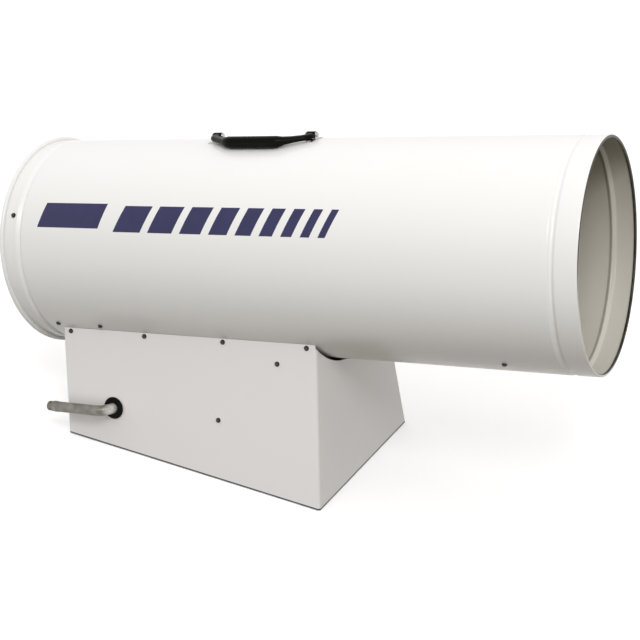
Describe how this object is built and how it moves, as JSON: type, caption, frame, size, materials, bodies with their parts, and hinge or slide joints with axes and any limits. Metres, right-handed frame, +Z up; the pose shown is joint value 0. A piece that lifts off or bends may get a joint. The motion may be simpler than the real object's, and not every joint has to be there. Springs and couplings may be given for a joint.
{
  "type": "portable gas heater",
  "caption": "Forced-air gas heater: long round heat shell with rolled beads, fan and burner inside, folding handle on top, on a flared sheet-metal base.",
  "frame": {"origin": "on the floor, under the middle of the base", "axes": "+X towards the outlet, -Y the side of the gas inlet, +Z up; the shell's axis rises 9.2 degrees from +X towards +Z"},
  "size_m": [1.2221, 0.4482, 0.7374],
  "materials": {
    "white_enamel": "gloss enamel",
    "galvanised": "satin",
    "stainless": "heat-toned satin",
    "dark_screw": "black zinc",
    "guard_wire": "semi-gloss",
    "motor_paint": "semi-gloss",
    "steel": "machined",
    "laminate": "dull",
    "pipe_steel": "grey mill finish",
    "brass": "machined",
    "ceramic": "glazed ceramic",
    "black_plastic": "moulded",
    "handle_black": "moulded, semi-gloss",
    "rubber": "matte",
    "valve_cast": "cast",
    "box_grey": "satin",
    "red_plastic": "moulded"
  },
  "bodies": {
    "heater": {"heat_shell": "white_enamel", "combustion_liner": "stainless", "liner_brackets": "stainless", "liner_screws": "dark_screw", "fan_guard": "guard_wire", "guard_screws": "dark_screw", "motor_mount": "galvanised", "motor_mount_screws": "dark_screw", "motor_straps": "galvanised", "motor_shell": "motor_paint", "motor_front_bell": "motor_paint", "motor_rear_bell": "motor_paint", "motor_bearings": "steel", "motor_stator": "laminate", "burner_plate": "stainless", "burner_cup": "stainless", "gas_orifice": "brass", "gas_riser": "pipe_steel", "igniter": "ceramic", "flame_sensor": "ceramic", "air_switch": "black_plastic", "saddle_rail_near": "galvanised", "saddle_rail_far": "galvanised", "base_wrapper": "white_enamel", "far_side_panel": "white_enamel", "base_pan": "galvanised", "near_flange_screws": "dark_screw", "far_flange_screws": "dark_screw", "control_box": "box_grey", "control_box_screws": "dark_screw", "inlet_grommet": "rubber", "inlet_pipe": "pipe_steel", "inlet_connector": "pipe_steel", "gas_valve": "valve_cast", "valve_coils": "black_plastic", "valve_bracket": "galvanised", "transformer": "laminate", "terminal_block": "black_plastic", "cord_gland": "black_plastic", "thermostat_body": "black_plastic", "switch_housing": "black_plastic", "reset_housing": "black_plastic", "high_limit_switch": "brass", "handle_brackets": "steel", "handle_rivets": "steel", "handle_pins": "steel"},
    "fan": {"motor_rotor": "laminate", "motor_shaft": "steel", "fan_spider": "galvanised", "fan_blades": "galvanised", "fan_rivets": "galvanised"},
    "air_sail": {"air_paddle": "galvanised"},
    "knob": {"thermostat_knob": "black_plastic"},
    "rocker": {"switch_rocker": "red_plastic"},
    "button": {"reset_button": "red_plastic"},
    "handle": {"handle_bail": "handle_black"}
  },
  "joints": [
    {"name": "fan_spin", "type": "hinge", "parent": "heater", "child": "fan", "pos_m": [-0.19509, 0, 0.38205], "axis": [0.9871, 0, 0.1599], "continuous": true},
    {"name": "handle_fold", "type": "hinge", "parent": "heater", "child": "handle", "pos_m": [0.04234, 0, 0.64236], "axis": [-0.9871, 0, -0.1599], "range_deg": [0, 185]},
    {"name": "knob_turn", "type": "hinge", "parent": "heater", "child": "knob", "pos_m": [0.01163, 0.17251, 0.18149], "axis": [-0.0286, 0.9839, 0.1765], "range_deg": [0, 270]},
    {"name": "rocker_tilt", "type": "hinge", "parent": "heater", "child": "rocker", "pos_m": [-0.07918, 0.17251, 0.16678], "axis": [0.9871, 0, 0.1599], "range_deg": [-20, 0]},
    {"name": "reset_press", "type": "slide", "parent": "heater", "child": "button", "axis": [0.0286, -0.9839, -0.1765], "range_m": [0, 0.0025], "stiffness_N_per_m": 400},
    {"name": "sail_swing", "type": "hinge", "parent": "heater", "child": "air_sail", "pos_m": [-0.13295, 0.17333, 0.36116], "axis": [0.1575, -0.1736, -0.9721], "range_deg": [0, 15], "stiffness_Nm_per_rad": 0.02}
  ]
}
